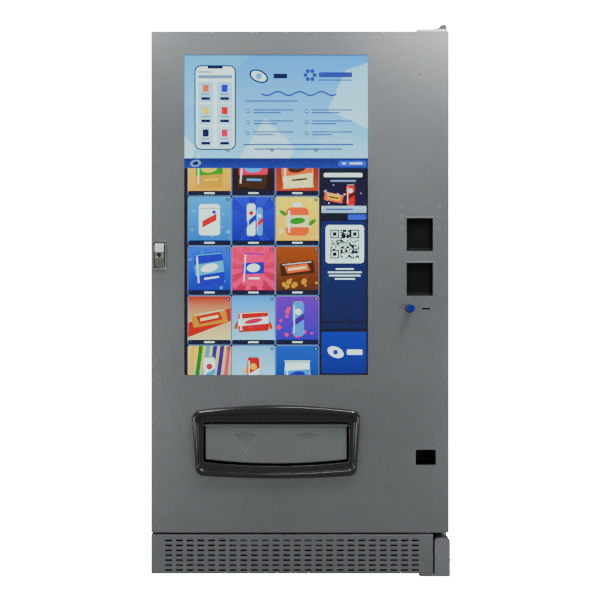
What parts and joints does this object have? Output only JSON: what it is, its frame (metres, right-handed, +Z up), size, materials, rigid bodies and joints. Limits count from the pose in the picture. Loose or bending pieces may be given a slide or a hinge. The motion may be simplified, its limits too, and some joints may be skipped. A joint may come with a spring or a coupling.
{
  "type": "snack vending machine",
  "caption": "Free-standing snack vending machine with a full-height hinged door, upright display, push-in delivery flap and spiral product trays.",
  "frame": {"origin": "centre of the footprint box, on the floor", "axes": "+Z up, the front with the display faces -Y, +X to the right seen from the front"},
  "size_m": [1.003, 0.918, 1.863],
  "materials": {
    "door_paint": "grey metallic powder coat, fine sparkle",
    "cabinet_paint": "dark grey powder coat",
    "zinc": "zinc plated",
    "steel": "satin",
    "chrome": "polished",
    "liner_plastic": "moulded, fine grain",
    "foam": "rigid foam",
    "rubber": "soft, matt",
    "bezel_plastic": "gloss moulded",
    "flap_plastic": "fine grain",
    "black_plastic": "matt moulded",
    "blue_plastic": "gloss",
    "glass": "clear toughened",
    "screen": "lit display",
    "cast_paint": "grey coat on a casting",
    "aluminium": "mill fins",
    "black_metal": "black enamel",
    "bronze": "sintered",
    "tray_paint": "light grey coat"
  },
  "bodies": {
    "root": {"cabinet_shell": "cabinet_paint", "cabinet_insulation": "foam", "cabinet_liner": "liner_plastic", "base_frame": "black_metal", "leveling_feet": "zinc", "kick_panel": "door_paint", "rear_cover": "cabinet_paint", "lower_hinge_bracket": "cast_paint", "upper_hinge_arm": "black_metal", "hinge_pins": "zinc", "compressor": "black_metal", "condenser_coil": "aluminium", "fan_shroud": "black_metal", "evaporator_housing": "liner_plastic", "evaporator_coil": "aluminium", "tray_rails": "zinc", "latch_nut": "zinc", "control_box": "liner_plastic", "power_inlet": "black_plastic"},
    "condenser_fan": {"condenser_fan": "black_plastic"},
    "evaporator_fan": {"evaporator_fan": "black_plastic"},
    "door": {"door_skin": "door_paint", "door_inner_panel": "liner_plastic", "door_insulation": "foam", "door_gasket": "rubber", "display_glass": "glass", "display_panel": "screen", "display_housing": "black_metal", "delivery_bezel": "bezel_plastic", "delivery_bin": "black_metal", "flap_rod": "steel", "lock_housing": "black_metal", "payment_blanks": "black_plastic", "coin_chutes": "steel", "coin_mech": "black_plastic", "coin_cup": "black_plastic", "button_guide": "black_plastic", "door_hinge_plates": "zinc", "hinge_bushings": "bronze"},
    "flap": {"delivery_flap": "flap_plastic"},
    "button": {"coin_return_button": "blue_plastic"},
    "handle": {"lock_handle": "chrome", "lock_bolt": "steel"},
    "key_cylinder": {"lock_cylinder": "chrome"},
    "tray_1": {"tray_1": "tray_paint"},
    "spiral_1_1": {"spiral_1_1": "steel"},
    "spiral_1_2": {"spiral_1_2": "steel"},
    "spiral_1_3": {"spiral_1_3": "steel"},
    "tray_2": {"tray_2": "tray_paint"},
    "spiral_2_1": {"spiral_2_1": "steel"},
    "spiral_2_2": {"spiral_2_2": "steel"},
    "spiral_2_3": {"spiral_2_3": "steel"},
    "tray_3": {"tray_3": "tray_paint"},
    "spiral_3_1": {"spiral_3_1": "steel"},
    "spiral_3_2": {"spiral_3_2": "steel"},
    "spiral_3_3": {"spiral_3_3": "steel"},
    "tray_4": {"tray_4": "tray_paint"},
    "spiral_4_1": {"spiral_4_1": "steel"},
    "spiral_4_2": {"spiral_4_2": "steel"},
    "spiral_4_3": {"spiral_4_3": "steel"}
  },
  "joints": [
    {"name": "door_hinge", "type": "hinge", "parent": "root", "child": "door", "pos_m": [0.4845, -0.381, 0.9], "axis": [0, 0, 1], "range_deg": [0, 115]},
    {"name": "flap_hinge", "type": "hinge", "parent": "door", "child": "flap", "pos_m": [-0.08225, -0.4125, 0.50845], "axis": [1, 0, 0], "range_deg": [0, 70]},
    {"name": "button_press", "type": "slide", "parent": "door", "child": "button", "axis": [0, 1, 0], "range_m": [0, 0.008], "stiffness_N_per_m": 250},
    {"name": "handle_pull", "type": "slide", "parent": "door", "child": "handle", "axis": [0, -1, 0], "range_m": [0, 0.022]},
    {"name": "key_turn", "type": "hinge", "parent": "handle", "child": "key_cylinder", "pos_m": [-0.472, -0.421, 1.079], "axis": [0, -1, 0], "range_deg": [0, 90]},
    {"name": "condenser_fan_spin", "type": "hinge", "parent": "root", "child": "condenser_fan", "pos_m": [-0.0515, -0.225, 0.18], "axis": [0, 1, 0], "continuous": true},
    {"name": "evaporator_fan_spin", "type": "hinge", "parent": "root", "child": "evaporator_fan", "pos_m": [-0.08325, 0.303, 0.47], "axis": [0, 1, 0], "continuous": true},
    {"name": "tray_1_slide", "type": "slide", "parent": "root", "child": "tray_1", "axis": [0, -1, 0], "range_m": [0, 0.15]},
    {"name": "spiral_1_1_turn", "type": "hinge", "parent": "tray_1", "child": "spiral_1_1", "pos_m": [-0.32008, -0.138, 0.7155], "axis": [0, 1, 0], "continuous": true},
    {"name": "spiral_1_2_turn", "type": "hinge", "parent": "tray_1", "child": "spiral_1_2", "pos_m": [-0.08325, -0.138, 0.7155], "axis": [0, 1, 0], "continuous": true},
    {"name": "spiral_1_3_turn", "type": "hinge", "parent": "tray_1", "child": "spiral_1_3", "pos_m": [0.15358, -0.138, 0.7155], "axis": [0, 1, 0], "continuous": true},
    {"name": "tray_2_slide", "type": "slide", "parent": "root", "child": "tray_2", "axis": [0, -1, 0], "range_m": [0, 0.15]},
    {"name": "spiral_2_1_turn", "type": "hinge", "parent": "tray_2", "child": "spiral_2_1", "pos_m": [-0.32008, -0.138, 1.0085], "axis": [0, 1, 0], "continuous": true},
    {"name": "spiral_2_2_turn", "type": "hinge", "parent": "tray_2", "child": "spiral_2_2", "pos_m": [-0.08325, -0.138, 1.0085], "axis": [0, 1, 0], "continuous": true},
    {"name": "spiral_2_3_turn", "type": "hinge", "parent": "tray_2", "child": "spiral_2_3", "pos_m": [0.15358, -0.138, 1.0085], "axis": [0, 1, 0], "continuous": true},
    {"name": "tray_3_slide", "type": "slide", "parent": "root", "child": "tray_3", "axis": [0, -1, 0], "range_m": [0, 0.15]},
    {"name": "spiral_3_1_turn", "type": "hinge", "parent": "tray_3", "child": "spiral_3_1", "pos_m": [-0.32008, -0.138, 1.3015], "axis": [0, 1, 0], "continuous": true},
    {"name": "spiral_3_2_turn", "type": "hinge", "parent": "tray_3", "child": "spiral_3_2", "pos_m": [-0.08325, -0.138, 1.3015], "axis": [0, 1, 0], "continuous": true},
    {"name": "spiral_3_3_turn", "type": "hinge", "parent": "tray_3", "child": "spiral_3_3", "pos_m": [0.15358, -0.138, 1.3015], "axis": [0, 1, 0], "continuous": true},
    {"name": "tray_4_slide", "type": "slide", "parent": "root", "child": "tray_4", "axis": [0, -1, 0], "range_m": [0, 0.15]},
    {"name": "spiral_4_1_turn", "type": "hinge", "parent": "tray_4", "child": "spiral_4_1", "pos_m": [-0.32008, -0.138, 1.5945], "axis": [0, 1, 0], "continuous": true},
    {"name": "spiral_4_2_turn", "type": "hinge", "parent": "tray_4", "child": "spiral_4_2", "pos_m": [-0.08325, -0.138, 1.5945], "axis": [0, 1, 0], "continuous": true},
    {"name": "spiral_4_3_turn", "type": "hinge", "parent": "tray_4", "child": "spiral_4_3", "pos_m": [0.15358, -0.138, 1.5945], "axis": [0, 1, 0], "continuous": true}
  ]
}
